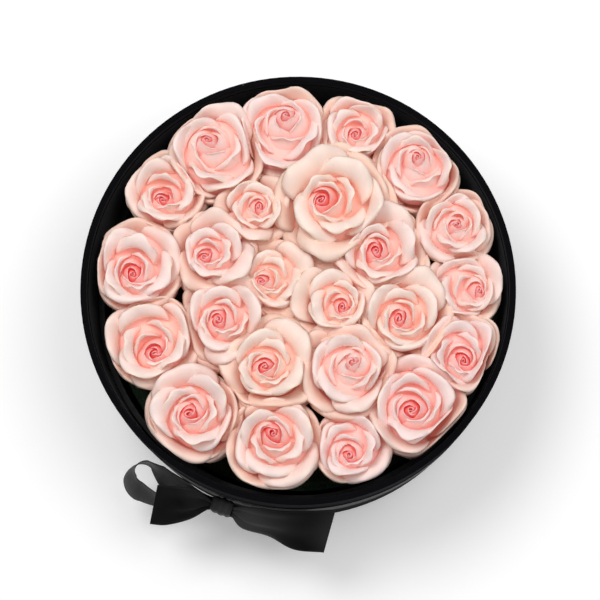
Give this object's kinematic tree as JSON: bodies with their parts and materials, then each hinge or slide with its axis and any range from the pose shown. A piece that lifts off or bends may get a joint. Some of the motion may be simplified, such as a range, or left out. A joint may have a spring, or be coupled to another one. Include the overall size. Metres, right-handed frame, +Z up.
{
  "type": "flower box",
  "caption": "Round papered board box tied with a satin ribbon bow, holding a lift-out dish of foam that is filled with rose heads.",
  "frame": {"origin": "centre of the underside, where the box stands on a table", "axes": "+Z up along the box's axis; -Y towards the viewer, with the bow at the front left"},
  "size_m": [0.2614, 0.2882, 0.1497],
  "materials": {
    "board": "matte",
    "black_paper": "flocked matte",
    "satin": "satin",
    "dish": "matte",
    "foam": "wet foam",
    "green": "fresh plant",
    "petal": "soft petal"
  },
  "bodies": {
    "box": {"box_wall": "board", "base_disc": "board", "outer_wrap": "black_paper", "base_cover": "black_paper", "inner_lining": "black_paper", "floor_lining": "black_paper", "ribbon_band": "satin", "bow_knot": "satin", "bow_loop_left": "satin", "bow_loop_right": "satin", "bow_tail_left": "satin", "bow_tail_right": "satin"},
    "insert": {"liner": "dish", "foam": "foam", "rose_stems": "green", "rose_calyxes": "green", "rose_01": "petal", "rose_02": "petal", "rose_03": "petal", "rose_04": "petal", "rose_05": "petal", "rose_06": "petal", "rose_07": "petal", "rose_08": "petal", "rose_09": "petal", "rose_10": "petal", "rose_11": "petal", "rose_12": "petal", "rose_13": "petal", "rose_14": "petal", "rose_15": "petal", "rose_16": "petal", "rose_17": "petal", "rose_18": "petal", "rose_19": "petal", "rose_20": "petal", "rose_21": "petal", "rose_22": "petal", "rose_23": "petal", "rose_24": "petal"}
  },
  "joints": [
    {"name": "insert_lift", "type": "slide", "parent": "box", "child": "insert", "axis": [0, 0, 1], "range_m": [0, 0.14]}
  ]
}
